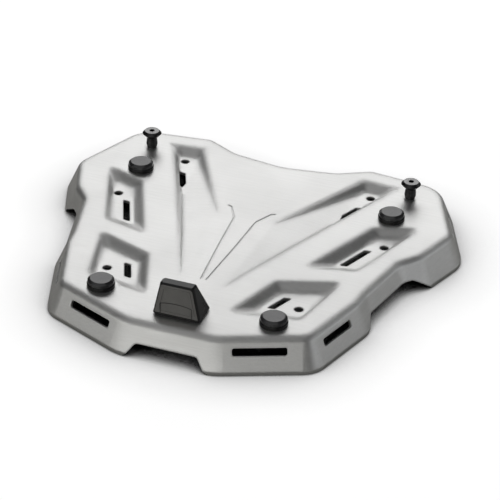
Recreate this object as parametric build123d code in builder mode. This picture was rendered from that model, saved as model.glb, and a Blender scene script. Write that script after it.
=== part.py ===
"""Top case mounting plate for a motorcycle rack.

A tray pressed from one aluminium sheet carries four rubber pads, two hook studs at the front
and a lock block at the rear. Millimetres, +X right, +Y front, +Z up. The origin is under the
middle of the plate, on the surface that its lower rim stands on.
"""

import os
from math import cos, hypot, radians, sin, tan

from build123d import *

# Sheet, skirt and bends of the pressed tray
sheet = 3.0
height = 31.5
rim_height = 4.0
skirt_draft = 24.0
bend_radius = 7.5

# Upper outline, where the skirt would meet the top without a bend, right half
near_y = -168.36
near_corner_x = 40.5
near_side_x, near_side_y = 117.3, -135.2
waist_start_x, waist_start_y = 139.2, -68.5
waist_x, waist_y = 141.5, -50.0
step_start_x, step_start_y = 156.0, 10.5
step_end_x, step_end_y = 172.5, 30.0
widest_x, widest_y = 189.5, 76.0
far_corner_x, far_corner_y = 157.0, 160.0
lobe_x, lobe_y = 84.5, 168.7
dip_x, dip_y = 53.0, 151.0
far_y = 142.2

# Pockets pressed into the top
pocket_depth = 7.0
pocket_corner = 7.0
pocket_foot = 4.0
pocket_lip = 5.0
steep_wall = 46.0
front_wall = 39.0
inner_wall = 33.0
ramp_slope = 24.0
long_ramp_slope = 7.7
front_inner_wall = 38.0

# Mounting holes and strap slots in the pockets, right half
mount_hole = 8.4
hole_front_x, hole_front_y = 96.6, 125.3
hole_middle_x, hole_middle_y = 134.1, 41.8
hole_rear_x, hole_rear_y = 91.9, -87.7
slot_angle = 67.5
slot_end_angle = 11.0
slot_width = 7.4
slot_corner = 1.4
slot_middle_x, slot_middle_y, slot_middle_length = 114.5, 14.2, 37.6
slot_rear_x, slot_rear_y, slot_rear_length = 72.9, -84.7, 23.8
slot_front_x, slot_front_y, slot_front_length = 84.7, 87.0, 36.6
slot_front_inner_side = 20.3

# Strap slots and notches in the skirt
strap_slot_width = 7.0
strap_slot_corner = 2.0
strap_slot_drop = 11.5
near_slot_place, near_slot_length = 40.0, 48.0
side_slot_place, side_slot_length = 35.0, 41.0
far_slot_place, far_slot_length = 38.0, 47.0
near_notch_top, near_notch_foot = 28.5, 38.5
side_notch_rear_foot, side_notch_rear_top = -66.0, -53.0
side_notch_front_top, side_notch_front_foot = 15.0, 30.0
notch_height = 13.6
notch_top_round = 5.0
notch_foot_round = 11.0

# Shallow styling grooves on the middle of the top
groove_width = 1.2
groove_depth = 0.5
groove_points = [(24.0, 50.0), (20.0, 48.5), (11.0, 30.0), (7.5, -23.0), (2.5, -83.0)]

# Rubber pads, their rings and the screws below them
pad_near_x, pad_near_y = 81.3, -127.0
pad_far_x, pad_far_y = 128.2, 85.0
pad_seat_radius = 16.0
pad_seat_slope = 50.0
ring_radius = 12.75
ring_height = 3.6
ring_edge = 0.6
pad_radius = 12.0
pad_height = 8.0
pad_top_radius = 9.7
pad_bevel = 1.7
pad_spigot_radius = 9.0
pad_screw_radius = 2.5
pad_screw_depth = 5.0
pad_flange_radius = 6.0
pad_flange = 1.2
pad_head_width = 8.0
pad_head = 3.2

# Hook studs, their washers and nuts
stud_x, stud_y = 134.4, 130.1
stud_foot_radius = 4.7
stud_collar_radius = 5.7
stud_collar_height = 4.1
stud_neck_radius = 5.0
stud_neck_height = 10.6
stud_head_radius = 9.55
stud_head_height = 15.6
stud_height = 18.3
stud_top_radius = 7.2
stud_socket = 5.0
stud_socket_depth = 5.0
stud_shank_radius = 3.0
stud_washer_radius = 6.0
stud_washer = 1.6
stud_nut_width = 10.0
stud_nut = 5.0
stud_tip = 2.0

# Lock block, its face cover, gasket and screws
lock_half_width = 22.2
lock_top_half_width = 15.5
lock_front_y = -152.7
lock_base_depth = 27.5
lock_top_depth = 10.0
lock_height = 34.2
lock_corner = 3.0
lock_bevel = 1.4
gasket = 1.6
gasket_inset = 1.2
face_thickness = 1.6
face_margin = 1.6
face_corner = 3.0
face_rib_width = 1.2
face_rib_height = 0.6
face_rib_inset = 2.2
face_panel_half_width = 14.0
face_panel_side_height = 10.5
face_panel_rise = 2.6
face_panel_corner = 1.2
face_panel_depth = 0.6
lock_screw_x = 11.0
lock_screw_radius = 3.0
lock_screw_depth = 12.0
lock_flange_radius = 7.0
lock_flange = 1.5
lock_head_width = 10.0
lock_head = 4.0
screw_chamfer = 0.5
bore_end_room = 1.0

# Running clearances
hole_clearance = 0.2
insert_clearance = 0.05

# How points and upright edges are told apart
same_place = 0.01
upright_enough = 0.5
steep_corner = 0.4
shortest_corner_edge = 1.0

# Worked-out sizes
underside = height - sheet
draft = radians(skirt_draft)
skirt_flare = (height - rim_height) * tan(draft)
lock_middle_y = lock_front_y + lock_base_depth / 2
cut_length = 2 * widest_x

upper_outline = [
    (0, near_y),
    (near_corner_x, near_y),
    (near_side_x, near_side_y),
    (waist_start_x, waist_start_y),
    (waist_x, waist_y),
    (step_start_x, step_start_y),
    (step_end_x, step_end_y),
    (widest_x, widest_y),
    (far_corner_x, far_corner_y),
    (lobe_x, lobe_y),
    (dip_x, dip_y),
    (0, far_y),
]
outline_radii = [None, 40, 14, 30, 40, 25, 18, 22, 30, 14, 30, 60]


def mirrored(point):
    """The same point on the left half."""
    return (-point[0], point[1])


def tray_outline(grow):
    """The upper outline with rounded corners, grown sideways by grow."""
    left_half = [mirrored(point) for point in reversed(upper_outline[1:-1])]
    with BuildSketch() as flat:
        with BuildLine():
            Polyline(*upper_outline, *left_half, close=True)
        make_face()
        for (x, y), radius in zip(upper_outline, outline_radii):
            if radius:
                corners = [v for v in flat.vertices() if hypot(abs(v.X) - x, v.Y - y) < same_place]
                fillet(corners, radius)
        offset(amount=grow, kind=Kind.ARC)
    return flat.sketch


def wall_plane(start, end, slope):
    """Plane of a pocket wall that leaves the top along start-end and falls to its right."""
    along = Vector(end[0] - start[0], end[1] - start[1]).normalized()
    tilt = radians(slope)
    away = Vector(-along.Y * sin(tilt), along.X * sin(tilt), -cos(tilt))
    return Plane(origin=(start[0], start[1], height), x_dir=along, z_dir=away)


def pushed_out(start, end, distance):
    """The line start-end moved sideways, away from the pocket on its right."""
    along = Vector(end[0] - start[0], end[1] - start[1]).normalized()
    shift = Vector(-along.Y, along.X) * distance
    return (start[0] + shift.X, start[1] + shift.Y), (end[0] + shift.X, end[1] + shift.Y)


def pocket_hollow(corners, slopes, inset, lip=0.0):
    """Space above a pocket's surface: sloping walls and a flat floor, grown by inset."""
    ends = corners[1:] + corners[:1]
    with BuildPart() as hollow:
        with Locations((0, 0, height)):
            Box(4 * widest_x, 4 * widest_x, 4 * height)
        for start, end, slope in zip(corners, ends, slopes):
            if lip:
                start, end = pushed_out(start, end, lip * tan(radians(slope / 2)))
                slope = slope / 2
            split(bisect_by=wall_plane(start, end, slope).offset(inset), keep=Keep.BOTTOM)
        split(bisect_by=Plane.XY.offset(height - pocket_depth - inset), keep=Keep.TOP)
        split(bisect_by=Plane.XY.offset(height + sheet), keep=Keep.BOTTOM)
    return hollow.part


def rounded_pocket(corners, slopes, inset, steep=0.0):
    """A pocket's hollow with rounded corners and foot, where the corner edges are steep enough."""
    with BuildPart() as hollow:
        add(pocket_hollow(corners, slopes, inset))
        corner_edges = [
            e for e in hollow.edges()
            if abs(e.tangent_at(0.5).Z) > steep and e.bounding_box().size.Z > shortest_corner_edge
        ]
        fillet(corner_edges, pocket_corner + inset)
        floor = hollow.faces().filter_by(GeomType.PLANE).sort_by(Axis.Z)[0]
        fillet(floor.edges(), pocket_foot + inset)
    return hollow.part


# Pocket corners on the top face, clockwise from above, and the slope of the wall after each
front_corners = [(27.0, 31.0), (83.0, 146.0), (117.0, 142.5), (21.1, -84.0)]
front_slopes = [front_inner_wall, front_wall, steep_wall, long_ramp_slope]
middle_corners = [(77.0, -30.0), (116.0, 62.5), (160.0, 78.5), (124.0, -19.0)]
rear_corners = [(37.5, -126.0), (60.0, -61.5), (119.0, -40.0), (101.0, -114.5)]
pocket_slopes = [inner_wall, front_wall, steep_wall, ramp_slope]


def pad_seat(inset):
    """Round seat that stands in the rear pocket so that the pad beside it is on flat metal."""
    side = radians(pad_seat_slope)
    top = pad_seat_radius - inset / sin(side)
    drop = pocket_depth + inset + sheet
    with BuildPart() as seat:
        with Locations((pad_near_x, pad_near_y, height - drop)):
            Cone(top + drop / tan(side), top, drop, align=(Align.CENTER, Align.CENTER, Align.MIN))
        with Locations((pad_near_x, pad_near_y, height)):
            Cylinder(top, sheet, align=(Align.CENTER, Align.CENTER, Align.MIN))
    return seat.part


def tray_body(inset):
    """The tray without pockets, as a full solid whose surface lies inset below the outer one."""
    kink = rim_height - inset * tan(draft / 2)
    with BuildPart() as body:
        with BuildSketch(Plane.XY.offset(kink)) as foot:
            add(tray_outline(skirt_flare - inset))
        extrude(amount=height - inset - kink, taper=skirt_draft)
        extrude(foot.sketch, amount=-kink - inset)
        fillet(body.edges().group_by(Axis.Z)[-1], bend_radius - inset)
    return body.part


def pressed_form(inset):
    """The tray with its pockets, as a full solid whose surface lies inset below the outer one."""
    body = tray_body(inset)
    middle_pocket = rounded_pocket(middle_corners, pocket_slopes, inset)
    rear_pocket = rounded_pocket(rear_corners, pocket_slopes, inset)
    seat = pad_seat(inset)
    front_pocket = rounded_pocket(front_corners, front_slopes, inset, steep=steep_corner)
    front_lip = pocket_hollow(front_corners, front_slopes, inset, lip=pocket_lip)
    with BuildPart() as seated_pocket:
        add(rear_pocket)
        add(seat, mode=Mode.SUBTRACT)
    with BuildPart() as long_pocket:
        add(front_pocket)
        add(front_lip)
    with BuildPart() as form:
        add(body)
        for hollow in (middle_pocket, seated_pocket.part):
            add(hollow, mode=Mode.SUBTRACT)
            mirror(hollow, about=Plane.YZ, mode=Mode.SUBTRACT)
        top = form.faces().filter_by(Plane.XY).sort_by(Axis.Z)[-1]
        for rim in top.inner_wires():
            fillet(rim.edges(), pocket_lip - inset)
        add(long_pocket.part, mode=Mode.SUBTRACT)
        mirror(long_pocket.part, about=Plane.YZ, mode=Mode.SUBTRACT)
    return form.part


def skirt_plane(start, end, distance, side):
    """Plane on the outside of the skirt at a distance along the outline's edge, side 1 or -1."""
    along = Vector(end[0] - start[0], end[1] - start[1]).normalized()
    away = Vector(along.Y, -along.X)
    origin = Vector(*start) + along * distance + away * strap_slot_drop * tan(draft)
    normal = away * cos(draft) + Vector(0, 0, sin(draft))
    return Plane(
        origin=(side * origin.X, origin.Y, height - strap_slot_drop),
        x_dir=(side * along.X, along.Y, 0),
        z_dir=(side * normal.X, normal.Y, normal.Z),
    )


def notch_profile(start_foot, start_top, end_top, end_foot):
    """Outline of a notch that opens at the skirt's lower edge, its feet rounded outwards."""
    flat = 2 * notch_foot_round
    with BuildSketch() as profile:
        with BuildLine():
            Polyline(
                (start_foot - flat, -sheet),
                (start_foot - flat, 0),
                (start_foot, 0),
                (start_top, notch_height),
                (end_top, notch_height),
                (end_foot, 0),
                (end_foot + flat, 0),
                (end_foot + flat, -sheet),
                close=True,
            )
        make_face()
        fillet(profile.vertices().group_by(Axis.Y)[-1], notch_top_round)
        fillet(profile.vertices().group_by(Axis.Y)[1].sort_by(Axis.X)[1:-1], notch_foot_round)
    return profile.sketch


def skewed_slot(centre_x, centre_y, length, inner_side):
    """Corners of a pocket slot, its long sides along the pocket and its ends nearly across."""
    along = Vector(1, 0).rotate(Axis.Z, slot_angle)
    across = Vector(slot_width / 2, 0).rotate(Axis.Z, slot_end_angle)
    far = Vector(centre_x, centre_y) + along * (length / 2)
    near = far - along * length
    corners = (near + across, far + across, far - across, far - across - along * inner_side)
    return [(corner.X, corner.Y) for corner in corners]


slot_middle = skewed_slot(slot_middle_x, slot_middle_y, slot_middle_length, slot_middle_length)
slot_rear = skewed_slot(slot_rear_x, slot_rear_y, slot_rear_length, slot_rear_length)
slot_front = skewed_slot(slot_front_x, slot_front_y, slot_front_length, slot_front_inner_side)

strap_slots = [
    (upper_outline[1], upper_outline[2], near_slot_place, near_slot_length),
    (upper_outline[2], upper_outline[3], side_slot_place, side_slot_length),
    (upper_outline[7], upper_outline[8], far_slot_place, far_slot_length),
]

outer_form = pressed_form(0)
inner_form = pressed_form(sheet)

mount_right = [(hole_front_x, hole_front_y), (hole_middle_x, hole_middle_y), (hole_rear_x, hole_rear_y)]
mount_places = mount_right + [mirrored(point) for point in mount_right]
pad_places = {
    "rear_left": (-pad_near_x, pad_near_y),
    "rear_right": (pad_near_x, pad_near_y),
    "front_left": (-pad_far_x, pad_far_y),
    "front_right": (pad_far_x, pad_far_y),
}
stud_places = {"left": -stud_x, "right": stud_x}
lock_screw_places = {"left": -lock_screw_x, "right": lock_screw_x}
pieces = []

# The pressed plate: one sheet, with its holes, slots, notches and grooves
with BuildPart() as mounting_plate:
    add(outer_form)
    add(inner_form, mode=Mode.SUBTRACT)
    with Locations(*[(x, y, height) for x, y in mount_places]):
        Hole(mount_hole / 2, depth=height)
    with Locations(*[(x, y, height) for x, y in pad_places.values()]):
        Hole(pad_screw_radius + hole_clearance, depth=height)
    with Locations(*[(x, stud_y, height) for x in stud_places.values()]):
        Hole(stud_shank_radius + hole_clearance, depth=height)
    with Locations(*[(x, lock_middle_y, height) for x in lock_screw_places.values()]):
        Hole(lock_screw_radius + hole_clearance, depth=height)
    with BuildSketch(Plane.XY.offset(height)) as pocket_slots:
        for corners in (slot_middle, slot_rear, slot_front):
            with BuildLine():
                Polyline(*corners, close=True)
            make_face()
        fillet(pocket_slots.vertices(), slot_corner)
        mirror(about=Plane.YZ)
    extrude(amount=-height, mode=Mode.SUBTRACT)
    for start, end, distance, length in strap_slots:
        right = skirt_plane(start, end, distance, 1)
        left = skirt_plane(start, end, distance, -1)
        with BuildSketch(right, left):
            RectangleRounded(length, strap_slot_width, strap_slot_corner)
        extrude(amount=2 * sheet, both=True, mode=Mode.SUBTRACT)
    with BuildSketch(Plane.XZ):
        add(notch_profile(-near_notch_foot, -near_notch_top, near_notch_top, near_notch_foot))
    extrude(amount=cut_length, mode=Mode.SUBTRACT)
    with BuildSketch(Plane.YZ):
        add(notch_profile(side_notch_rear_foot, side_notch_rear_top, side_notch_front_top,
                          side_notch_front_foot))
    extrude(amount=cut_length, both=True, mode=Mode.SUBTRACT)
    with BuildSketch(Plane.XY.offset(height)):
        with BuildLine():
            Polyline(*groove_points)
        trace(line_width=groove_width)
        mirror(about=Plane.YZ)
    extrude(amount=-groove_depth, mode=Mode.SUBTRACT)
mounting_plate.part.label = "mounting_plate"
pieces.append(mounting_plate)


def upright(x, y, z):
    """Plane through a point, seen from the rear, for profiles that are turned about the vertical."""
    return Plane(origin=(x, y, z), x_dir=(1, 0, 0), z_dir=(0, -1, 0))


def flange_screw(x, y, radius, depth, flange_radius, flange, head_width, head):
    """Hexagon flange screw from below; depth is how far it reaches above the top of the sheet."""
    with BuildPart() as screw:
        with BuildSketch(Plane((x, y, underside))):
            Circle(radius)
        extrude(amount=sheet + depth)
        chamfer(screw.edges().sort_by(Axis.Z)[-1], screw_chamfer)
        with BuildSketch(Plane((x, y, underside))):
            Circle(flange_radius)
        extrude(amount=-flange)
        with BuildSketch(Plane((x, y, underside - flange))):
            RegularPolygon(head_width / 2, 6, major_radius=False)
        extrude(amount=-head)
    return screw.part


# Pad rings, rubber pads and their screws
for place, (x, y) in pad_places.items():
    with BuildPart() as pad_ring:
        with BuildSketch(Plane((x, y, height))):
            Circle(ring_radius)
            Circle(pad_spigot_radius + insert_clearance, mode=Mode.SUBTRACT)
        extrude(amount=ring_height)
        rim = pad_ring.edges().group_by(Axis.Z)[-1].sort_by(SortBy.RADIUS)[-1]
        chamfer(rim, ring_edge)
    pad_ring.part.label = f"pad_ring_{place}"
    pieces.append(pad_ring)

    with BuildPart() as rubber_pad:
        with BuildSketch(upright(x, y, height)):
            with BuildLine():
                Polyline(
                    (0, 0),
                    (pad_spigot_radius, 0),
                    (pad_spigot_radius, ring_height),
                    (pad_radius, ring_height),
                    (pad_radius, pad_height - pad_bevel),
                    (pad_top_radius, pad_height),
                    (0, pad_height),
                    close=True,
                )
            make_face()
        revolve(axis=Axis((x, y, 0), (0, 0, 1)))
        with BuildSketch(Plane((x, y, height))):
            Circle(pad_screw_radius + insert_clearance)
        extrude(amount=pad_screw_depth + bore_end_room, mode=Mode.SUBTRACT)
    rubber_pad.part.label = f"rubber_pad_{place}"
    pieces.append(rubber_pad)

    with BuildPart() as pad_screw:
        add(flange_screw(x, y, pad_screw_radius, pad_screw_depth, pad_flange_radius, pad_flange,
                         pad_head_width, pad_head))
    pad_screw.part.label = f"pad_screw_{place}"
    pieces.append(pad_screw)

# Hook studs, with a washer and a nut below the sheet
for place, x in stud_places.items():
    with BuildPart() as stud:
        with BuildSketch(upright(x, stud_y, height)):
            with BuildLine():
                Polyline(
                    (0, -sheet - stud_washer - stud_nut - stud_tip),
                    (stud_shank_radius, -sheet - stud_washer - stud_nut - stud_tip),
                    (stud_shank_radius, 0),
                    (stud_foot_radius, 0),
                    (stud_collar_radius, stud_collar_height),
                    (stud_neck_radius, stud_neck_height),
                    (stud_head_radius, stud_head_height),
                    (stud_top_radius, stud_height),
                    (0, stud_height),
                    close=True,
                )
            make_face()
        revolve(axis=Axis((x, stud_y, 0), (0, 0, 1)))
        chamfer(stud.edges().filter_by(GeomType.CIRCLE).sort_by(Axis.Z)[0], screw_chamfer)
        with BuildSketch(Plane((x, stud_y, height + stud_height))):
            RegularPolygon(stud_socket / 2, 6, major_radius=False)
        extrude(amount=-stud_socket_depth, mode=Mode.SUBTRACT)
    stud.part.label = f"stud_{place}"
    pieces.append(stud)

    with BuildPart() as stud_washer_ring:
        with BuildSketch(Plane((x, stud_y, underside))):
            Circle(stud_washer_radius)
            Circle(stud_shank_radius + hole_clearance, mode=Mode.SUBTRACT)
        extrude(amount=-stud_washer)
    stud_washer_ring.part.label = f"stud_washer_{place}"
    pieces.append(stud_washer_ring)

    with BuildPart() as stud_hex_nut:
        with BuildSketch(Plane((x, stud_y, underside - stud_washer))):
            RegularPolygon(stud_nut_width / 2, 6, major_radius=False)
            Circle(stud_shank_radius + insert_clearance, mode=Mode.SUBTRACT)
        extrude(amount=-stud_nut)
    stud_hex_nut.part.label = f"stud_nut_{place}"
    pieces.append(stud_hex_nut)


def lock_profile(inset):
    """The tapered rear view of the lock block, inset along its sides and top."""
    with BuildSketch() as profile:
        with BuildLine():
            Polyline(
                (-lock_half_width, height + gasket),
                (lock_half_width, height + gasket),
                (lock_top_half_width, height + lock_height),
                (-lock_top_half_width, height + lock_height),
                close=True,
            )
        make_face()
        offset(amount=-inset, kind=Kind.INTERSECTION)
    return profile.sketch


lock_rear = Plane.XZ.offset(-lock_front_y)
lock_slope = Plane(
    origin=(0, lock_front_y + lock_base_depth, height + gasket),
    x_dir=(1, 0, 0),
    z_dir=(0, lock_height - gasket, lock_base_depth - lock_top_depth),
)

# Lock block, with a recess for its face cover and bores for its screws
with BuildPart() as lock_body:
    with BuildSketch(lock_rear):
        add(lock_profile(0))
    extrude(amount=-lock_base_depth)
    split(bisect_by=lock_slope, keep=Keep.BOTTOM)
    upward = lock_body.edges().filter_by(lambda edge: abs(edge.tangent_at(0.5).Z) > upright_enough)
    fillet(upward, lock_corner)
    chamfer(lock_body.edges().group_by(Axis.Z)[-1], lock_bevel)
    with BuildSketch(lock_rear) as face_outline:
        add(lock_profile(face_margin))
        fillet(face_outline.vertices().group_by(Axis.Y)[-1], face_corner)
    extrude(amount=-face_thickness, mode=Mode.SUBTRACT)
    for x in lock_screw_places.values():
        with BuildSketch(Plane((x, lock_middle_y, height))):
            Circle(lock_screw_radius + insert_clearance)
        extrude(amount=lock_screw_depth + bore_end_room, mode=Mode.SUBTRACT)
lock_body.part.label = "lock_body"
pieces.append(lock_body)

# Face cover in the recess, with a rib along each side and an arched panel below
with BuildPart() as lock_face:
    with BuildSketch(lock_rear) as cover_outline:
        add(lock_profile(face_margin + insert_clearance))
        fillet(cover_outline.vertices().group_by(Axis.Y)[-1], face_corner - insert_clearance)
    extrude(amount=-face_thickness)
    with BuildSketch(lock_rear):
        add(lock_profile(face_margin + face_rib_inset))
        offset(amount=-face_rib_width, kind=Kind.INTERSECTION, mode=Mode.SUBTRACT)
        with Locations((0, height + gasket)):
            Rectangle(2 * lock_half_width, 2 * (face_margin + face_rib_inset + face_rib_width),
                      mode=Mode.SUBTRACT)
    extrude(amount=face_rib_height)
    with BuildSketch(lock_rear) as panel:
        panel_foot = height + gasket + face_margin + face_rib_inset
        panel_side = height + gasket + face_panel_side_height
        with BuildLine():
            Polyline(
                (-face_panel_half_width, panel_side),
                (-face_panel_half_width, panel_foot),
                (face_panel_half_width, panel_foot),
                (face_panel_half_width, panel_side),
            )
            ThreePointArc(
                (face_panel_half_width, panel_side),
                (0, panel_side + face_panel_rise),
                (-face_panel_half_width, panel_side),
            )
        make_face()
        fillet(panel.vertices(), face_panel_corner)
    extrude(amount=-face_panel_depth, mode=Mode.SUBTRACT)
lock_face.part.label = "lock_face"
pieces.append(lock_face)

# Gasket between the lock block and the plate
with BuildPart() as lock_gasket:
    with BuildSketch(Plane((0, lock_middle_y, height))):
        RectangleRounded(
            2 * (lock_half_width - gasket_inset),
            lock_base_depth - 2 * gasket_inset,
            lock_corner,
        )
        for x in lock_screw_places.values():
            with Locations((x, 0)):
                Circle(lock_screw_radius + hole_clearance, mode=Mode.SUBTRACT)
    extrude(amount=gasket)
lock_gasket.part.label = "lock_gasket"
pieces.append(lock_gasket)

# Screws that hold the lock block from below
for place, x in lock_screw_places.items():
    with BuildPart() as lock_screw:
        add(flange_screw(x, lock_middle_y, lock_screw_radius, lock_screw_depth, lock_flange_radius,
                         lock_flange, lock_head_width, lock_head))
    lock_screw.part.label = f"lock_screw_{place}"
    pieces.append(lock_screw)

os.makedirs("parts", exist_ok=True)
for piece in pieces:
    export_step(piece.part, f"parts/{piece.part.label}.step")
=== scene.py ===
"""Finishes and studio for a top case mounting plate.

The plate's pieces come from the frame and stay as they are. Each one gets its own finish here:
brushed aluminium, moulded rubber, satin plastic, black turned steel and zinc plate. One thin piece is
added, the arched panel on the lock's cover.
"""

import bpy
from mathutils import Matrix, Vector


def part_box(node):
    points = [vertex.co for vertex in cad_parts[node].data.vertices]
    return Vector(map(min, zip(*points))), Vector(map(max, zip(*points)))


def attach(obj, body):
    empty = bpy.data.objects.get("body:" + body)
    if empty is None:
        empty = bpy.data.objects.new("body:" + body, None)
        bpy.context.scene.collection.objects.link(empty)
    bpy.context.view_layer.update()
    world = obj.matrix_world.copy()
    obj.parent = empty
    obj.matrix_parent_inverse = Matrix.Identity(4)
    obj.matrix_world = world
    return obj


bl_info = {
    "name": "Top Case Mounting Plate Finishes",
    "version": (1, 0, 0),
    "blender": (4, 5, 0),
    "location": "3D View > Sidebar > Mounting Plate",
    "description": "Finishes of a pressed mounting plate and the studio that shows it",
    "category": "Material",
}

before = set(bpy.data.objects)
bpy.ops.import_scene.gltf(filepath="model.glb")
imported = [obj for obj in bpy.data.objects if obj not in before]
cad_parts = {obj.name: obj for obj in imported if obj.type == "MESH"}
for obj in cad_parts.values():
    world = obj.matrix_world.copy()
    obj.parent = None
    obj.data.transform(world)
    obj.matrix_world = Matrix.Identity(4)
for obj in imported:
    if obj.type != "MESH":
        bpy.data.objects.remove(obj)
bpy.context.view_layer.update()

from math import pi, radians

import bpy
from mathutils import Matrix, Vector

SHEET_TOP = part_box("mounting_plate")[1].z

WHITE = (1.0, 1.0, 1.0)
ORIGIN = Vector((0.0, 0.0, 0.0))

# Arched panel on the lock's cover. The rise of its arch is a share of the cover's height, and the
# cover's lean is read at two heights, which are shares of it too.
PANEL_CLEARANCE = 0.0009
PANEL_RISE = 0.06
PANEL_SINK = 0.0001
PANEL_THICKNESS = 0.0006
PANEL_EDGE = 0.0002
PANEL_EDGE_FACES = 2
PANEL_COLUMNS, PANEL_ROWS = 32, 6
PANEL_SMOOTH_ANGLE = 30.0
PANEL_LINE_WIDTH = 0.0006
PANEL_LINE_DEPTH = 0.0004
# Darkness of the painted shade in the groove round the panel, as a share of the cover's colour
PANEL_GROOVE_SHADE_TONE = 0.35
LEAN_HEIGHTS = (0.3, 0.7)
CLEAR_OF_COVER = 0.01

# Where the photograph was taken from, read from the plate's own symmetry
CAMERA_PLACE = (0.4914, -1.4663, 0.9686)
CAMERA_AIM = (0.0223, -0.0200, 0.0315)
CAMERA_ROLL = 2.28
CAMERA_LENS = 139.4
CAMERA_FAR = 100.0
SENSOR_WIDTH = 36.0

# Studio floor: its side, its colour of painted shade where it is closed in, and the open shares that
# count as fully shaded and as unshaded
FLOOR_SIZE = 12.0
FLOOR_PAINTED_SHADE = (0.02, 0.02, 0.02)
FLOOR_PAINTED_SHADE_RANGE = (0.38, 0.97)
FLOOR_SAMPLES = 8

# Lamps over the floor: name, place, width, depth, the setting that holds the power, and colour
LAMPS = (
    ("back_softbox", (-0.55, 1.70, 1.10), 2.2, 1.2, "back_power", WHITE),
    ("top_softbox", (-0.3, -0.5, 2.0), 2.5, 2.0, "top_power", WHITE),
    ("front_fill", (-0.6, -2.3, 0.60), 5.0, 0.7, "front_power", (1.0, 1.0, 0.975)),
    ("side_fill", (2.2, 0.5, 0.55), 3.0, 0.8, "side_power", (0.96, 0.98, 1.0)),
)

# Cuts through the top of the plate, right half: the middle and half length of each slot, the middle of
# each hole, the points of the groove, and the half width of each kind
SLOT_ALONG = Vector((0.3827, 0.9239, 0.0))
SLOT_HALF_WIDTH = 0.0033
SLOT_MIDDLES = ((0.1145, 0.0142, 0.0175), (0.0729, -0.0847, 0.0106), (0.0847, 0.0870, 0.0170))
HOLE_HALF_WIDTH = 0.0042
HOLE_MIDDLES = ((0.0966, 0.1253), (0.1341, 0.0418), (0.0919, -0.0877))
GROOVE_HALF_WIDTH = 0.0006
GROOVE_POINTS = (
    (0.0240, 0.0500), (0.0200, 0.0485), (0.0110, 0.0300), (0.0075, -0.0230), (0.0025, -0.0830))

# Shared effects. A tilt is a part of the normal, a bend is how far the rounded normal agrees with the
# true one, and a contrast is the part of a noise that is drawn out to the whole range.
SIDEWAYS_TILT = (0.60, 0.72)
TOP_TILT = (0.46, 0.60)
# Tilt range of the stud's top face that gets a painted highlight
STUD_TOP_HIGHLIGHT_TILT = (0.90, 0.98)
BROAD_LINE_WIDTH, BROAD_LINE_LENGTH = 5.0, 3.0
STREAK_CONTRAST = (0.35, 0.65)
PATCH_CONTRAST = (0.3, 0.7)
# Edge mask for wear and painted highlight: its bend, noise scale, contrast and least strength
WEAR_AND_HIGHLIGHT_BEND = (0.80, 0.99)
WEAR_AND_HIGHLIGHT_NOISE_SCALE = 160.0
WEAR_AND_HIGHLIGHT_CONTRAST = (0.35, 0.65)
WEAR_AND_HIGHLIGHT_LEAST = 0.4
PANEL_LINE_CORE = 0.4
ROUNDING_SAMPLES = 4

# Brushed sheet: tones as shares of the metal's colour, and how the roughness strays from its mean
SHEET_TONES = (0.93, 1.05)
# Paler cut edges: partly bare cut metal, partly painted highlight; the next value is the strength of that
# edge mask
SHEET_EDGE_HIGHLIGHT_TONE = 1.22
SHEET_WEAR_AND_HIGHLIGHT = 1.8
SHEET_SMUDGE = 0.06
SHEET_ROUGHNESS_SPREAD = 0.05
SHEET_SMUDGE_ROUGHNESS = (-0.02, 0.03)

# Moulded rubber
RUBBER_DUST = 0.012
RUBBER_DUST_TONE = 1.5
RUBBER_ROUND = 0.0004
RUBBER_GRAIN_DEPTH = 0.00003
RUBBER_ROUGHNESS_SPREAD = (-0.05, 0.07)
PAD_ROUGHNESS, PAD_SHINE = 0.20, 1.0
GASKET_GRAIN, GASKET_ROUGHNESS = 0.0004, 0.6

# Satin plastic
PLASTIC_PATCH = 0.02
PLASTIC_TONES = (0.9, 1.15)
# Edges paler by this share, a painted highlight broken up like wear; the next value is that mask's strength
PLASTIC_EDGE_HIGHLIGHT_TONE = 2.2
PLASTIC_WEAR_AND_HIGHLIGHT = 0.35
PLASTIC_ROUND = 0.0005
PLASTIC_GRAIN = 0.0003
PLASTIC_GRAIN_DEPTH = 0.00002
PLASTIC_ROUGHNESS_SPREAD = (-0.04, 0.05)
RING_ROUGHNESS, LOCK_ROUGHNESS, COVER_ROUGHNESS = 0.24, 0.28, 0.42

# Blackened studs
STUD_PATCH, STUD_SPECKLE = 0.006, 0.0012
# Patch tone; pale tone of the painted highlight on the top face and edges, partly wear; least share of the
# top highlight among its speckles; strength of the edge mask
STUD_PATCH_TONE, STUD_HIGHLIGHT_AND_WORN_TONE = 1.5, 4.5
STUD_TOP_HIGHLIGHT_LEAST = 0.45
STUD_WEAR_AND_HIGHLIGHT = 0.6
STUD_ROUND = 0.0004
STUD_TURNING_DEPTH = 0.000006
STUD_ROUGHNESS = (0.24, 0.36)

# Zinc plate
ZINC_BLOOM = 0.004
ZINC_BLOOM_TONE = 0.88
ZINC_BLOOM_DEPTH = 0.00001
ZINC_ROUND = 0.0003
ZINC_ROUGHNESS_SPREAD = (-0.05, 0.09)


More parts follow.
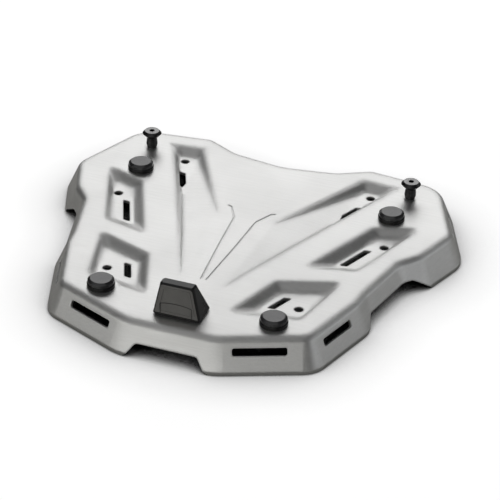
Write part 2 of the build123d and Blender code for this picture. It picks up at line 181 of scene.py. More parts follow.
class PlateFinish(bpy.types.PropertyGroup):
    metal: bpy.props.FloatVectorProperty(
        name="Metal", description="Colour of the brushed aluminium", subtype="COLOR",
        default=(0.80, 0.80, 0.79), min=0.0, max=1.0)
    roughness: bpy.props.FloatProperty(
        name="Roughness", description="Mean roughness of the brushed face", subtype="FACTOR",
        default=0.41, min=0.0, max=1.0)
    brush_width: bpy.props.FloatProperty(
        name="Brush Width", description="Width of one brush line", subtype="DISTANCE", unit="LENGTH",
        default=0.00045, min=0.0001, max=0.01, precision=5)
    brush_length: bpy.props.FloatProperty(
        name="Brush Length", description="Length of one brush line", subtype="DISTANCE", unit="LENGTH",
        default=0.030, min=0.001, max=0.5)
    brush_depth: bpy.props.FloatProperty(
        name="Brush Depth", description="Depth of the brush lines", subtype="DISTANCE", unit="LENGTH",
        default=0.00003, min=0.0, max=0.001, precision=6)
    press_round: bpy.props.FloatProperty(
        name="Press Rounding", description="Rounding of the pressed edges of the top as light sees it",
        subtype="DISTANCE", unit="LENGTH", default=0.0085, min=0.0, max=0.02, precision=5)
    cut_round: bpy.props.FloatProperty(
        name="Cut Rounding", description="Rounding of the cut edges as light sees it",
        subtype="DISTANCE", unit="LENGTH", default=0.0020, min=0.0, max=0.005, precision=5)


class PadFinish(bpy.types.PropertyGroup):
    rubber: bpy.props.FloatVectorProperty(
        name="Rubber", description="Colour of the pads", subtype="COLOR",
        default=(0.028, 0.028, 0.030), min=0.0, max=1.0)
    ring: bpy.props.FloatVectorProperty(
        name="Ring", description="Colour of the rings round the pads", subtype="COLOR",
        default=(0.008, 0.008, 0.008), min=0.0, max=1.0)
    grain: bpy.props.FloatProperty(
        name="Grain", description="Size of the moulded grain", subtype="DISTANCE", unit="LENGTH",
        default=0.0004, min=0.0001, max=0.01, precision=5)


class StudFinish(bpy.types.PropertyGroup):
    black: bpy.props.FloatVectorProperty(
        name="Black", description="Colour of the blackened studs", subtype="COLOR",
        default=(0.070, 0.070, 0.070), min=0.0, max=1.0)
    turning: bpy.props.FloatProperty(
        name="Turning", description="Pitch of the lathe marks", subtype="DISTANCE", unit="LENGTH",
        default=0.0004, min=0.0001, max=0.01, precision=5)


class LockFinish(bpy.types.PropertyGroup):
    body: bpy.props.FloatVectorProperty(
        name="Body", description="Colour of the lock block", subtype="COLOR",
        default=(0.012, 0.012, 0.012), min=0.0, max=1.0)
    cover: bpy.props.FloatVectorProperty(
        name="Cover", description="Colour of the cover on the lock block", subtype="COLOR",
        default=(0.220, 0.215, 0.207), min=0.0, max=1.0)
    panel_share: bpy.props.FloatProperty(
        name="Panel Share", description="Width of the arched panel, as a share of the cover's width",
        subtype="FACTOR", default=0.72, min=0.0, max=1.0)
    panel_height: bpy.props.FloatProperty(
        name="Panel Height",
        description="Height of the arched panel's sides, as a share of the cover's height",
        subtype="FACTOR", default=0.34, min=0.0, max=1.0)
    gasket: bpy.props.FloatVectorProperty(
        name="Gasket", description="Colour of the gasket", subtype="COLOR",
        default=(0.010, 0.010, 0.010), min=0.0, max=1.0)


class FastenerFinish(bpy.types.PropertyGroup):
    zinc: bpy.props.FloatVectorProperty(
        name="Zinc", description="Colour of the plated screws, nuts and washers", subtype="COLOR",
        default=(0.62, 0.62, 0.60), min=0.0, max=1.0)
    roughness: bpy.props.FloatProperty(
        name="Roughness", description="Mean roughness of the plating", subtype="FACTOR",
        default=0.34, min=0.0, max=1.0)


class StageSettings(bpy.types.PropertyGroup):
    floor: bpy.props.FloatVectorProperty(
        name="Floor", description="Colour of the floor as the camera sees it", subtype="COLOR",
        default=(0.70, 0.70, 0.70), min=0.0, max=1.0)
    bounce: bpy.props.FloatVectorProperty(
        name="Floor Bounce", description="Colour of the light that the floor throws back", subtype="COLOR",
        default=(0.80, 0.79, 0.76), min=0.0, max=1.0)
    floor_glow: bpy.props.FloatProperty(
        name="Floor Glow", description="White that the camera sees added to the open floor",
        default=0.82, min=0.0, max=1.0)
    # Reach of the painted shade: how far the floor darkens round what stands on it
    painted_shade_reach: bpy.props.FloatProperty(
        name="Contact Reach", description="How far the glow keeps away from what stands on the floor",
        subtype="DISTANCE", unit="LENGTH", default=0.062, min=0.01, max=1.0)
    room: bpy.props.FloatProperty(
        name="Room Light", description="Strength of the dim room round the stage",
        default=0.05, min=0.0, max=5.0)
    back_power: bpy.props.FloatProperty(
        name="Back Softbox", description="Power of the wide softbox behind the plate", unit="POWER",
        default=11.4, min=0.0, max=500.0)
    top_power: bpy.props.FloatProperty(
        name="Top Softbox", description="Power of the wide, weak softbox overhead", unit="POWER",
        default=4.4, min=0.0, max=500.0)
    front_power: bpy.props.FloatProperty(
        name="Front Fill", description="Power of the long, low softbox in front", unit="POWER",
        default=14.5, min=0.0, max=500.0)
    side_power: bpy.props.FloatProperty(
        name="Side Fill", description="Power of the low softbox to the right", unit="POWER",
        default=5.0, min=0.0, max=500.0)


def feed(tree, target, value):
    """Joins a socket to an input, or gives the input a fixed value."""
    if isinstance(value, bpy.types.NodeSocket):
        tree.links.new(value, target)
    else:
        target.default_value = value


def math_node(tree, operation, first, second=None, clamp=False):
    """Math node on sockets or numbers; returns its result."""
    node = tree.nodes.new("ShaderNodeMath")
    node.operation = operation
    node.use_clamp = clamp
    feed(tree, node.inputs[0], first)
    if second is not None:
        feed(tree, node.inputs[1], second)
    return node.outputs[0]


def vector_node(tree, operation, first, second, result="Vector"):
    """Vector node on two sockets; returns one of its results."""
    node = tree.nodes.new("ShaderNodeVectorMath")
    node.operation = operation
    tree.links.new(first, node.inputs[0])
    tree.links.new(second, node.inputs[1])
    return node.outputs[result]


def spread(tree, value, low, high, from_low=0.0, from_high=1.0):
    """Value moved from one range to another and held inside it."""
    node = tree.nodes.new("ShaderNodeMapRange")
    tree.links.new(value, node.inputs["Value"])
    for label, number in (("From Min", from_low), ("From Max", from_high), ("To Min", low), ("To Max", high)):
        node.inputs[label].default_value = number
    return node.outputs["Result"]


def object_place(tree):
    """Place on the piece, in its own coordinates."""
    return tree.nodes.new("ShaderNodeTexCoord").outputs["Object"]


def true_normal(tree):
    """Normal of the mesh, before any rounding."""
    return tree.nodes.new("ShaderNodeNewGeometry").outputs["Normal"]


def axes_of(tree, vector):
    """The X, Y and Z of a vector."""
    node = tree.nodes.new("ShaderNodeSeparateXYZ")
    tree.links.new(vector, node.inputs[0])
    return node.outputs


def noise_value(tree, place, scale, detail=2.0, roughness=0.5):
    """Noise at a place."""
    node = tree.nodes.new("ShaderNodeTexNoise")
    node.inputs["Detail"].default_value = detail
    node.inputs["Roughness"].default_value = roughness
    feed(tree, node.inputs["Scale"], scale)
    tree.links.new(place, node.inputs["Vector"])
    return node.outputs["Fac"]


def streak_noise(tree, place, length, width, along):
    """Noise drawn out along one axis, with streaks of the given length and width."""
    sizes = tree.nodes.new("ShaderNodeCombineXYZ")
    for position, axis in enumerate("XYZ"):
        size = length if axis == along else width
        tree.links.new(math_node(tree, "DIVIDE", 1.0, size), sizes.inputs[position])
    stretched = vector_node(tree, "MULTIPLY", place, sizes.outputs[0])
    return noise_value(tree, stretched, 1.0, detail=3.0, roughness=0.6)


def top_cuts():
    """Start, run and half width of each cut in the top."""
    for x, y, half_length in SLOT_MIDDLES:
        run = SLOT_ALONG * half_length
        yield Vector((x, y, 0.0)) - run, 2 * run, SLOT_HALF_WIDTH
    for x, y in HOLE_MIDDLES:
        yield Vector((x, y, 0.0)), ORIGIN, HOLE_HALF_WIDTH
    for start, end in zip(GROOVE_POINTS, GROOVE_POINTS[1:]):
        begin = Vector((*start, 0.0))
        yield begin, Vector((*end, 0.0)) - begin, GROOVE_HALF_WIDTH


def new_group(name, inputs, outputs):
    """Node group with named inputs, each (name, type, value), and outputs, each (name, type)."""
    group = bpy.data.node_groups.new(name, "ShaderNodeTree")
    for label, kind, value in inputs:
        item = group.interface.new_socket(name=label, in_out="INPUT", socket_type=kind)
        item.default_value = value
    for label, kind in outputs:
        group.interface.new_socket(name=label, in_out="OUTPUT", socket_type=kind)
    return group, group.nodes.new("NodeGroupInput"), group.nodes.new("NodeGroupOutput")


def brush_lines_group():
    """Brush lines that run along X, and along Y on walls that face sideways."""
    group, enter, leave = new_group(
        "brush_lines",
        [("Length", "NodeSocketFloat", 0.03), ("Width", "NodeSocketFloat", 0.0005)],
        [("Fine", "NodeSocketFloat"), ("Broad", "NodeSocketFloat")],
    )
    place = object_place(group)
    sideways = math_node(group, "ABSOLUTE", axes_of(group, true_normal(group))["X"])
    turned = spread(group, sideways, 0.0, 1.0, *SIDEWAYS_TILT)
    length, width = enter.outputs["Length"], enter.outputs["Width"]
    broad_width = math_node(group, "MULTIPLY", width, BROAD_LINE_WIDTH)
    broad_length = math_node(group, "MULTIPLY", length, BROAD_LINE_LENGTH)
    for label, long_size, wide_size in (("Fine", length, width), ("Broad", broad_length, broad_width)):
        blend = group.nodes.new("ShaderNodeMix")
        group.links.new(turned, blend.inputs["Factor"])
        group.links.new(streak_noise(group, place, long_size, wide_size, "X"), blend.inputs["A"])
        group.links.new(streak_noise(group, place, long_size, wide_size, "Y"), blend.inputs["B"])
        group.links.new(blend.outputs["Result"], leave.inputs[label])
    return group


def patches_group():
    """Soft uneven patches, as handling and cleaning leave on a surface."""
    group, enter, leave = new_group(
        "patches",
        [("Size", "NodeSocketFloat", 0.05)],
        [("Value", "NodeSocketFloat")],
    )
    scale = math_node(group, "DIVIDE", 1.0, enter.outputs["Size"])
    noise = noise_value(group, object_place(group), scale, detail=4.0, roughness=0.55)
    group.links.new(spread(group, noise, 0.0, 1.0, *PATCH_CONTRAST), leave.inputs["Value"])
    return group


def moulded_grain_group():
    """Fine pebbled grain of a mould's surface."""
    group, enter, leave = new_group(
        "moulded_grain",
        [("Size", "NodeSocketFloat", 0.0004)],
        [("Height", "NodeSocketFloat")],
    )
    cells = group.nodes.new("ShaderNodeTexVoronoi")
    cells.feature = "SMOOTH_F1"
    group.links.new(object_place(group), cells.inputs["Vector"])
    group.links.new(math_node(group, "DIVIDE", 1.0, enter.outputs["Size"]), cells.inputs["Scale"])
    group.links.new(cells.outputs["Distance"], leave.inputs["Height"])
    return group


def edge_wear_and_highlight_group():
    """Mask of the edges, for wear and for painted highlight: where the rounded normal leaves the true one,
    broken up by a noise.
    """
    group, enter, leave = new_group(
        "edge_wear",
        [("Rounded Normal", "NodeSocketVector", ORIGIN), ("Amount", "NodeSocketFloat", 0.5)],
        [("Mask", "NodeSocketFloat")],
    )
    agreement = vector_node(
        group, "DOT_PRODUCT", enter.outputs["Rounded Normal"], true_normal(group), "Value")
    edge = spread(group, agreement, 1.0, 0.0, *WEAR_AND_HIGHLIGHT_BEND)
    noise = noise_value(group, object_place(group), WEAR_AND_HIGHLIGHT_NOISE_SCALE)
    broken = math_node(group, "MULTIPLY", edge, spread(group, noise, WEAR_AND_HIGHLIGHT_LEAST, 1.0, *WEAR_AND_HIGHLIGHT_CONTRAST))
    group.links.new(math_node(group, "MULTIPLY", broken, enter.outputs["Amount"]), leave.inputs["Mask"])
    return group


def line_distance_group():
    """Distance from a straight middle line, less its half width."""
    group, enter, leave = new_group(
        "line_distance",
        [("Place", "NodeSocketVector", ORIGIN), ("Start", "NodeSocketVector", ORIGIN),
         ("Run", "NodeSocketVector", ORIGIN), ("Half Width", "NodeSocketFloat", 0.0)],
        [("Distance", "NodeSocketFloat")],
    )
    run = enter.outputs["Run"]
    offset = vector_node(group, "SUBTRACT", enter.outputs["Place"], enter.outputs["Start"])
    ahead = vector_node(group, "DOT_PRODUCT", offset, run, "Value")
    whole = vector_node(group, "DOT_PRODUCT", run, run, "Value")
    reached = group.nodes.new("ShaderNodeVectorMath")
    reached.operation = "SCALE"
    group.links.new(run, reached.inputs[0])
    group.links.new(math_node(group, "DIVIDE", ahead, whole, clamp=True), reached.inputs["Scale"])
    away = vector_node(group, "DISTANCE", offset, reached.outputs["Vector"], "Value")
    group.links.new(math_node(group, "SUBTRACT", away, enter.outputs["Half Width"]), leave.inputs["Distance"])
    return group


def press_rounding_group():
    """Radius that light sees at an edge: wide on the pressed top, narrow by its cuts and on the skirt."""
    group, enter, leave = new_group(
        "press_rounding",
        [("Wide", "NodeSocketFloat", 0.006), ("Narrow", "NodeSocketFloat", 0.0006)],
        [("Radius", "NodeSocketFloat")],
    )
    place = axes_of(group, object_place(group))
    half = group.nodes.new("ShaderNodeCombineXYZ")
    group.links.new(math_node(group, "ABSOLUTE", place["X"]), half.inputs["X"])
    group.links.new(place["Y"], half.inputs["Y"])
    reach = enter.outputs["Wide"]
    for start, run, half_width in top_cuts():
        line = effect(
            group, "line_distance", Place=half.outputs[0], Start=start, Run=run, Half_Width=half_width)
        reach = math_node(group, "MINIMUM", reach, line.outputs["Distance"])
    faces_up = spread(group, axes_of(group, true_normal(group))["Z"], 0.0, 1.0, *TOP_TILT)
    reach = math_node(group, "MULTIPLY", reach, faces_up)
    group.links.new(math_node(group, "MAXIMUM", reach, enter.outputs["Narrow"]), leave.inputs["Radius"])
    return group


def arched_panel_group():
    """Groove round a panel with an arched top, on a face that is seen along Y; Line is 1 in the groove."""
    group, enter, leave = new_group(
        "arched_panel",
        [("Half Width", "NodeSocketFloat", 0.01), ("Top", "NodeSocketFloat", 0.05),
         ("Rise", "NodeSocketFloat", 0.001), ("Line Width", "NodeSocketFloat", 0.0004)],
        [("Line", "NodeSocketFloat")],
    )
    place = axes_of(group, object_place(group))
    across = math_node(group, "ABSOLUTE", place["X"])
    half_width = enter.outputs["Half Width"]
    share = math_node(group, "POWER", math_node(group, "DIVIDE", across, half_width), 2.0)
    arch = math_node(group, "MULTIPLY", enter.outputs["Rise"], math_node(group, "SUBTRACT", 1.0, share))
    head = math_node(group, "ADD", enter.outputs["Top"], arch)
    above = math_node(group, "SUBTRACT", place["Z"], head)
    outside = math_node(group, "MAXIMUM", math_node(group, "SUBTRACT", across, half_width), above)
    away = math_node(group, "DIVIDE", math_node(group, "ABSOLUTE", outside), enter.outputs["Line Width"])
    group.links.new(spread(group, away, 1.0, 0.0, PANEL_LINE_CORE, 1.0), leave.inputs["Line"])
    return group


GROUP_MAKERS = {
    "arched_panel": arched_panel_group,
    "line_distance": line_distance_group,
    "press_rounding": press_rounding_group,
    "brush_lines": brush_lines_group,
    "patches": patches_group,
    "moulded_grain": moulded_grain_group,
    "edge_wear": edge_wear_and_highlight_group,
}


def effect(tree, name, **values):
    """A shared effect placed in a material or in another effect, with its own values."""
    node = tree.nodes.new("ShaderNodeGroup")
    node.node_tree = bpy.data.node_groups.get(name) or GROUP_MAKERS[name]()
    for label, value in values.items():
        feed(tree, node.inputs[label.replace("_", " ")], value)
    return node


def new_material(name):
    """Material with its node tree and its shader."""
    material = bpy.data.materials.new(name)
    material.use_nodes = True
    tree = material.node_tree
    return material, tree, tree.nodes["Principled BSDF"]


def tinted(tree, value, dark, light):
    """Colour between two tones, by a value."""
    mix = tree.nodes.new("ShaderNodeMix")
    mix.data_type = "RGBA"
    tree.links.new(value, mix.inputs["Factor"])
    for label, colour in (("A", dark), ("B", light)):
        target = next(s for s in mix.inputs if s.name == label and s.type == "RGBA")
        feed(tree, target, colour if isinstance(colour, bpy.types.NodeSocket) else (*colour, 1.0))
    return next(s for s in mix.outputs if s.type == "RGBA")


def scaled(colour, factor):
    """A colour made lighter or darker."""
    return tuple(min(channel * factor, 1.0) for channel in colour)


def strayed(mean, below, above):
    """Lower and upper end of a range round a mean."""
    return mean + below, mean + above


def rounded_normal(tree, radius):
    """Normal with small rounded edges."""
    bevel = tree.nodes.new("ShaderNodeBevel")
    bevel.samples = ROUNDING_SAMPLES
    feed(tree, bevel.inputs["Radius"], radius)
    return bevel.outputs["Normal"]


def bumped(tree, height, distance, normal):
    """Normal with a height laid over it."""
    bump = tree.nodes.new("ShaderNodeBump")
    bump.inputs["Distance"].default_value = distance
    bump.inputs["Strength"].default_value = 1.0
    tree.links.new(height, bump.inputs["Height"])
    tree.links.new(normal, bump.inputs["Normal"])
    return bump.outputs["Normal"]


def brushed_aluminium(finish):
    """Brushed, clear anodised sheet, a little brighter and less metallic along its cut edges: partly bare cut
    metal, partly painted highlight.
    """
    material, tree, shader = new_material("brushed_aluminium")
    lines = effect(tree, "brush_lines", Length=finish.brush_length, Width=finish.brush_width)
    smudge = effect(tree, "patches", Size=SHEET_SMUDGE).outputs["Value"]
    radius = effect(tree, "press_rounding", Wide=finish.press_round, Narrow=finish.cut_round)
    pressed = rounded_normal(tree, radius.outputs["Radius"])
    cut = rounded_normal(tree, finish.cut_round)
    wear_and_highlight = effect(tree, "edge_wear", Rounded_Normal=cut, Amount=SHEET_WEAR_AND_HIGHLIGHT).outputs["Mask"]
    fine, broad = (math_node(tree, "MULTIPLY", lines.outputs[label], 0.5) for label in ("Fine", "Broad"))
    streaks = math_node(tree, "ADD", fine, broad)
    tone = spread(tree, streaks, 0.0, 1.0, *STREAK_CONTRAST)
    brushed = tinted(tree, tone, *(scaled(finish.metal, share) for share in SHEET_TONES))
    # Paler, non-metallic cut edges: partly bare cut metal, partly painted highlight
    edge = scaled(finish.metal, SHEET_EDGE_HIGHLIGHT_TONE)
    tree.links.new(tinted(tree, wear_and_highlight, brushed, edge), shader.inputs["Base Color"])
    brush_range = strayed(finish.roughness, -SHEET_ROUGHNESS_SPREAD, SHEET_ROUGHNESS_SPREAD)
    rough = math_node(
        tree, "ADD", spread(tree, tone, *brush_range), spread(tree, smudge, *SHEET_SMUDGE_ROUGHNESS))
    tree.links.new(rough, shader.inputs["Roughness"])
    tree.links.new(spread(tree, wear_and_highlight, 1.0, 0.0), shader.inputs["Metallic"])
    tree.links.new(bumped(tree, streaks, finish.brush_depth, pressed), shader.inputs["Normal"])
    return material


def moulded_rubber(name, colour, grain, roughness, shine=0.5):
    """Moulded rubber with a fine grain and dusty patches."""
    material, tree, shader = new_material(name)
    dust = effect(tree, "patches", Size=RUBBER_DUST).outputs["Value"]
    height = effect(tree, "moulded_grain", Size=grain).outputs["Height"]
    rounded = rounded_normal(tree, RUBBER_ROUND)
    shader.inputs["Specular IOR Level"].default_value = shine
    dusty = scaled(colour, RUBBER_DUST_TONE)
    tree.links.new(tinted(tree, dust, colour, dusty), shader.inputs["Base Color"])
    rough = spread(tree, dust, *strayed(roughness, *RUBBER_ROUGHNESS_SPREAD))
    tree.links.new(rough, shader.inputs["Roughness"])
    tree.links.new(bumped(tree, height, RUBBER_GRAIN_DEPTH, rounded), shader.inputs["Normal"])
    return material


def satin_plastic(name, colour, roughness):
    """Moulded plastic with a fine grain, paler along its edges: a painted highlight, broken up by a noise as
    wear would be.
    """
    material, tree, shader = new_material(name)
    patch = effect(tree, "patches", Size=PLASTIC_PATCH).outputs["Value"]
    height = effect(tree, "moulded_grain", Size=PLASTIC_GRAIN).outputs["Height"]
    rounded = rounded_normal(tree, PLASTIC_ROUND)
    wear_and_highlight = effect(tree, "edge_wear", Rounded_Normal=rounded, Amount=PLASTIC_WEAR_AND_HIGHLIGHT).outputs["Mask"]
    body = tinted(tree, patch, *(scaled(colour, share) for share in PLASTIC_TONES))
    # Paler edges: painted highlight, broken up like wear
    edge = scaled(colour, PLASTIC_EDGE_HIGHLIGHT_TONE)
    tree.links.new(tinted(tree, wear_and_highlight, body, edge), shader.inputs["Base Color"])
    rough = spread(tree, patch, *strayed(roughness, *PLASTIC_ROUGHNESS_SPREAD))
    tree.links.new(rough, shader.inputs["Roughness"])
    tree.links.new(bumped(tree, height, PLASTIC_GRAIN_DEPTH, rounded), shader.inputs["Normal"])
    return material


def cover_plastic(finish, low, high):
    """Satin plastic of the lock's cover, with a dark fine line round its arched lower panel: painted shade of
    the groove there.
    """
    material = satin_plastic("cover_plastic", finish.cover, COVER_ROUGHNESS)
    tree = material.node_tree
    shader = tree.nodes["Principled BSDF"]
    height = high.z - low.z
    line = effect(
        tree, "arched_panel", Half_Width=finish.panel_share * (high.x - low.x) / 2,
        Top=low.z + finish.panel_height * height, Rise=PANEL_RISE * height,
        Line_Width=PANEL_LINE_WIDTH).outputs["Line"]
    colour = shader.inputs["Base Color"].links[0].from_socket
    normal = shader.inputs["Normal"].links[0].from_socket
    # Painted shade in the groove round the arched panel
    dark = scaled(finish.cover, PANEL_GROOVE_SHADE_TONE)
    tree.links.new(tinted(tree, line, colour, dark), shader.inputs["Base Color"])
    depth = math_node(tree, "MULTIPLY", line, -1.0)
    tree.links.new(bumped(tree, depth, PANEL_LINE_DEPTH, normal), shader.inputs["Normal"])
    return material


def turned_black(finish, centre):
    """Blackened steel with fine lathe marks round each stud's own axis, a painted highlight on its top face
    broken up by speckles, and edges paler with wear and painted highlight.
    """
    material, tree, shader = new_material("turned_black")
    place = axes_of(tree, object_place(tree))
    across = math_node(tree, "SUBTRACT", math_node(tree, "ABSOLUTE", place["X"]), centre.x)
    along = math_node(tree, "SUBTRACT", place["Y"], centre.y)
    squares = (math_node(tree, "POWER", distance, 2.0) for distance in (across, along))
    radius = math_node(tree, "SQRT", math_node(tree, "ADD", *squares))
    path = math_node(tree, "ADD", radius, place["Z"])
    marks = math_node(tree, "SINE", math_node(tree, "MULTIPLY", path, 2 * pi / finish.turning))
    patch = effect(tree, "patches", Size=STUD_PATCH).outputs["Value"]
    rounded = rounded_normal(tree, STUD_ROUND)
    wear_and_highlight = effect(tree, "edge_wear", Rounded_Normal=rounded, Amount=STUD_WEAR_AND_HIGHLIGHT).outputs["Mask"]
    # Painted highlight on the upward face, broken up by speckles, joined with the edges' wear and painted
    # highlight
    face = spread(tree, axes_of(tree, true_normal(tree))["Z"], 0.0, 1.0, *STUD_TOP_HIGHLIGHT_TILT)
    speckle = effect(tree, "patches", Size=STUD_SPECKLE).outputs["Value"]
    painted_top_highlight = math_node(tree, "MULTIPLY", face, spread(tree, speckle, STUD_TOP_HIGHLIGHT_LEAST, 1.0))
    black = tinted(tree, patch, finish.black, scaled(finish.black, STUD_PATCH_TONE))
    worn_and_highlit = math_node(tree, "MAXIMUM", wear_and_highlight, painted_top_highlight)
    highlit_and_bare = scaled(finish.black, STUD_HIGHLIGHT_AND_WORN_TONE)
    tree.links.new(tinted(tree, worn_and_highlit, black, highlit_and_bare), shader.inputs["Base Color"])
    tree.links.new(spread(tree, patch, *STUD_ROUGHNESS), shader.inputs["Roughness"])
    shader.inputs["Metallic"].default_value = 1.0
    tree.links.new(bumped(tree, marks, STUD_TURNING_DEPTH, rounded), shader.inputs["Normal"])
    return material


def zinc_plate(finish):
    """Zinc plated steel with a faint cloudy bloom."""
    material, tree, shader = new_material("zinc_plate")
    bloom = effect(tree, "patches", Size=ZINC_BLOOM).outputs["Value"]
    rounded = rounded_normal(tree, ZINC_ROUND)
    dull = scaled(finish.zinc, ZINC_BLOOM_TONE)
    tree.links.new(tinted(tree, bloom, dull, finish.zinc), shader.inputs["Base Color"])
    rough = spread(tree, bloom, *strayed(finish.roughness, *ZINC_ROUGHNESS_SPREAD))
    tree.links.new(rough, shader.inputs["Roughness"])
    shader.inputs["Metallic"].default_value = 1.0
    tree.links.new(bumped(tree, bloom, ZINC_BLOOM_DEPTH, rounded), shader.inputs["Normal"])
    return material


def dress(material, *starts):
    """Gives a material to every CAD node whose name starts with one of the words."""
    found = [node for name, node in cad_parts.items() if name.startswith(starts)]
    if not found:
        raise RuntimeError(f"no piece is called {starts}")
    for node in found:
        node.data.materials.clear()
        node.data.materials.append(material)


class MOUNTINGPLATE_OT_sheet(bpy.types.Operator):
    """Brush the pressed aluminium sheet"""
    bl_idname = "mountingplate.sheet"
    bl_label = "Finish the Sheet"

    def execute(self, context):
        dress(brushed_aluminium(context.scene.plate_finish), "mounting_plate")
        return {"FINISHED"}


class MOUNTINGPLATE_OT_pads(bpy.types.Operator):
    """Finish the rubber pads and their rings"""
    bl_idname = "mountingplate.pads"
    bl_label = "Finish the Pads"

    def execute(self, context):
        finish = context.scene.pad_finish
        rubber = moulded_rubber("pad_rubber", finish.rubber, finish.grain, PAD_ROUGHNESS, PAD_SHINE)
        dress(rubber, "rubber_pad")
        dress(satin_plastic("ring_plastic", finish.ring, RING_ROUGHNESS), "pad_ring")
        return {"FINISHED"}


class MOUNTINGPLATE_OT_studs(bpy.types.Operator):
    """Blacken the hook studs"""
    bl_idname = "mountingplate.studs"
    bl_label = "Finish the Studs"

    def execute(self, context):
        low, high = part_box("stud_right")
        dress(turned_black(context.scene.stud_finish, (low + high) / 2), "stud_left", "stud_right")
        return {"FINISHED"}


class MOUNTINGPLATE_OT_lock(bpy.types.Operator):
    """Finish the lock block, its cover and its gasket"""
    bl_idname = "mountingplate.lock"
    bl_label = "Finish the Lock Block"

    def execute(self, context):
        finish = context.scene.lock_finish
        dress(satin_plastic("lock_plastic", finish.body, LOCK_ROUGHNESS), "lock_body")
        dress(cover_plastic(finish, *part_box("lock_face")), "lock_face")
        gasket = moulded_rubber("gasket_rubber", finish.gasket, GASKET_GRAIN, GASKET_ROUGHNESS)
        dress(gasket, "lock_gasket")
        return {"FINISHED"}


class MOUNTINGPLATE_OT_cover_panel(bpy.types.Operator):
    """Raise the arched panel on the lock's cover"""
    bl_idname = "mountingplate.cover_panel"
    bl_label = "Raise the Cover Panel"

    def execute(self, context):
        finish = context.scene.lock_finish
        low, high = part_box("lock_face")
        height = high.z - low.z
        foot = low.z + PANEL_CLEARANCE
        side = low.z + finish.panel_height * height
        half_width = finish.panel_share * (high.x - low.x) / 2
        lower, upper = (self.on_cover(low, low.z + share * height) for share in LEAN_HEIGHTS)
        bpy.ops.object.select_all(action="DESELECT")
        bpy.ops.mesh.primitive_grid_add(
            x_subdivisions=PANEL_COLUMNS, y_subdivisions=PANEL_ROWS, size=2.0, location=ORIGIN)
        panel = context.active_object
        panel.name = "cover_panel"
        # The grid runs from -1 to 1 both ways: across the panel, and from its foot to its arched head
        for vertex in panel.data.vertices:
            across, up = vertex.co.x, (vertex.co.y + 1.0) / 2
            head = side + PANEL_RISE * height * (1.0 - across * across)
            z = foot + up * (head - foot)
            y = lower.y + (upper.y - lower.y) * (z - lower.z) / (upper.z - lower.z)
            vertex.co = (across * half_width, y + PANEL_SINK, z)
        for name, kind, values in (
            ("thickness", "SOLIDIFY", {"thickness": PANEL_THICKNESS, "offset": 1.0}),
            ("edge", "BEVEL", {"width": PANEL_EDGE, "segments": PANEL_EDGE_FACES}),
        ):
            bpy.ops.object.modifier_add(type=kind)
            modifier = panel.modifiers[-1]
            modifier.name = name
            for label, value in values.items():
                setattr(modifier, label, value)
            bpy.ops.object.modifier_apply(modifier=name)
        bpy.ops.object.mode_set(mode="EDIT")
        bpy.ops.mesh.select_all(action="SELECT")
        bpy.ops.mesh.normals_make_consistent(inside=False)
        bpy.ops.object.mode_set(mode="OBJECT")
        bpy.ops.object.shade_smooth_by_angle(angle=radians(PANEL_SMOOTH_ANGLE))
        panel.data.materials.append(bpy.data.materials["cover_plastic"])
        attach(panel, "root")
        return {"FINISHED"}

    @staticmethod
    def on_cover(low, z):
        """Point of the cover's outer face on its middle line."""
        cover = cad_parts["lock_face"]
        before = Vector((0.0, low.y - CLEAR_OF_COVER, z))
        found, place, _, _ = cover.ray_cast(before, Vector((0.0, 1.0, 0.0)))
        if not found:
            raise RuntimeError("the lock's cover has no face behind its panel")
        return place


class MOUNTINGPLATE_OT_fasteners(bpy.types.Operator):
    """Plate the screws, washers and nuts"""
    bl_idname = "mountingplate.fasteners"
    bl_label = "Finish the Fasteners"

    def execute(self, context):
        zinc = zinc_plate(context.scene.fastener_finish)
        dress(zinc, "pad_screw", "lock_screw", "stud_washer", "stud_nut")
        return {"FINISHED"}


def floor_material(settings):
    """Matt floor that the camera sees as white; where it is closed in, under and beside the plate, painted
    shade darkens its colour and holds back the white.
    """
    material, tree, shader = new_material("studio_floor")
    tree.nodes.remove(shader)
    camera_ray = tree.nodes.new("ShaderNodeLightPath").outputs["Is Camera Ray"]
    lit = tinted(tree, camera_ray, settings.bounce, settings.floor)
    # Painted shade: an occlusion test darkens the floor where it is closed in and holds back the camera's
    # white glow there
    shade_occlusion = tree.nodes.new("ShaderNodeAmbientOcclusion")
    shade_occlusion.samples = FLOOR_SAMPLES
    shade_occlusion.inputs["Distance"].default_value = settings.painted_shade_reach
    clear = spread(tree, shade_occlusion.outputs["AO"], 0.0, 1.0, *FLOOR_PAINTED_SHADE_RANGE)
    matt = tree.nodes.new("ShaderNodeBsdfDiffuse")
    tree.links.new(tinted(tree, clear, FLOOR_PAINTED_SHADE, lit), matt.inputs["Color"])
    glow = tree.nodes.new("ShaderNodeEmission")
    seen = math_node(tree, "MULTIPLY", camera_ray, settings.floor_glow)
    tree.links.new(math_node(tree, "MULTIPLY", seen, clear), glow.inputs["Strength"])
    both = tree.nodes.new("ShaderNodeAddShader")
    tree.links.new(matt.outputs[0], both.inputs[0])
    tree.links.new(glow.outputs[0], both.inputs[1])
    tree.links.new(both.outputs[0], tree.nodes["Material Output"].inputs["Surface"])
    return material


def room_light(settings):
    """Even, dim light of the room, with a white backdrop for the camera alone."""
    world = bpy.data.worlds.new("studio_room")
    bpy.context.scene.world = world
    world.use_nodes = True
    tree = world.node_tree
    background = tree.nodes["Background"]
    camera_ray = tree.nodes.new("ShaderNodeLightPath").outputs["Is Camera Ray"]
    tree.links.new(spread(tree, camera_ray, settings.room, 1.0), background.inputs["Strength"])
    background.inputs["Color"].default_value = (*WHITE, 1.0)


def in_scene(name, data):
    """New object of the scene that holds a lamp or a camera."""
    holder = bpy.data.objects.new(name, data)
    bpy.context.scene.collection.objects.link(holder)
    return holder


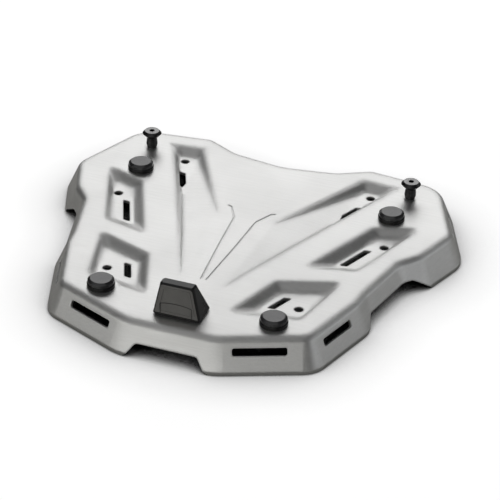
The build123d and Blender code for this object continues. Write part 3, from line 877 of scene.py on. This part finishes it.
def facing(place, aim):
    """Turn of a lamp or a camera that looks from its place at an aim."""
    return (Vector(aim) - Vector(place)).to_track_quat("-Z", "Y")


def area_lamp(name, place, aim, width, depth, power, colour):
    """Rectangular lamp that faces a point."""
    lamp = bpy.data.lights.new(name, "AREA")
    lamp.shape = "RECTANGLE"
    lamp.size = width
    lamp.size_y = depth
    lamp.energy = power
    lamp.color = colour
    holder = in_scene(name, lamp)
    holder.location = place
    holder.rotation_euler = facing(place, aim).to_euler()


def photo_camera():
    """Camera at the photograph's place, aim and roll."""
    data = bpy.data.cameras.new("photo_camera")
    data.lens = CAMERA_LENS
    data.sensor_width = SENSOR_WIDTH
    data.clip_end = CAMERA_FAR
    camera = in_scene("photo_camera", data)
    aim = facing(CAMERA_PLACE, CAMERA_AIM).to_matrix().to_4x4()
    roll = Matrix.Rotation(radians(CAMERA_ROLL), 4, "Z")
    camera.matrix_world = Matrix.Translation(CAMERA_PLACE) @ aim @ roll
    bpy.context.scene.camera = camera


class MOUNTINGPLATE_OT_stage(bpy.types.Operator):
    """Build the floor, the lamps and the camera"""
    bl_idname = "mountingplate.stage"
    bl_label = "Build the Stage"

    def execute(self, context):
        settings = context.scene.stage_settings
        bpy.ops.object.select_all(action="DESELECT")
        bpy.ops.mesh.primitive_plane_add(size=FLOOR_SIZE, location=ORIGIN)
        floor = context.active_object
        floor.name = "studio_floor"
        floor.data.materials.append(floor_material(settings))
        room_light(settings)
        centre = (0.0, 0.0, SHEET_TOP)
        for name, place, width, depth, power, colour in LAMPS:
            area_lamp(name, place, centre, width, depth, getattr(settings, power), colour)
        photo_camera()
        context.scene.view_settings.view_transform = "Standard"
        return {"FINISHED"}


class MOUNTINGPLATE_PT_sidebar(bpy.types.Panel):
    """Buttons for every finish and the stage"""
    bl_idname = "MOUNTINGPLATE_PT_sidebar"
    bl_label = "Mounting Plate"
    bl_space_type = "VIEW_3D"
    bl_region_type = "UI"
    bl_category = "Mounting Plate"

    def draw(self, context):
        for operator in OPERATORS:
            self.layout.operator(operator.bl_idname)


SETTINGS = {
    "plate_finish": PlateFinish,
    "pad_finish": PadFinish,
    "stud_finish": StudFinish,
    "lock_finish": LockFinish,
    "fastener_finish": FastenerFinish,
    "stage_settings": StageSettings,
}
OPERATORS = (
    MOUNTINGPLATE_OT_sheet,
    MOUNTINGPLATE_OT_pads,
    MOUNTINGPLATE_OT_studs,
    MOUNTINGPLATE_OT_lock,
    MOUNTINGPLATE_OT_cover_panel,
    MOUNTINGPLATE_OT_fasteners,
    MOUNTINGPLATE_OT_stage,
)


def register():
    for name, group in SETTINGS.items():
        bpy.utils.register_class(group)
        setattr(bpy.types.Scene, name, bpy.props.PointerProperty(type=group))
    for operator in OPERATORS:
        bpy.utils.register_class(operator)
    bpy.utils.register_class(MOUNTINGPLATE_PT_sidebar)


def unregister():
    bpy.utils.unregister_class(MOUNTINGPLATE_PT_sidebar)
    for operator in reversed(OPERATORS):
        bpy.utils.unregister_class(operator)
    for name, group in SETTINGS.items():
        delattr(bpy.types.Scene, name)
        bpy.utils.unregister_class(group)


def main():
    register()
    bpy.ops.mountingplate.sheet()
    bpy.ops.mountingplate.pads()
    bpy.ops.mountingplate.studs()
    bpy.ops.mountingplate.lock()
    bpy.ops.mountingplate.cover_panel()
    bpy.ops.mountingplate.fasteners()
    bpy.ops.mountingplate.stage()


if __name__ == "__main__":
    main()
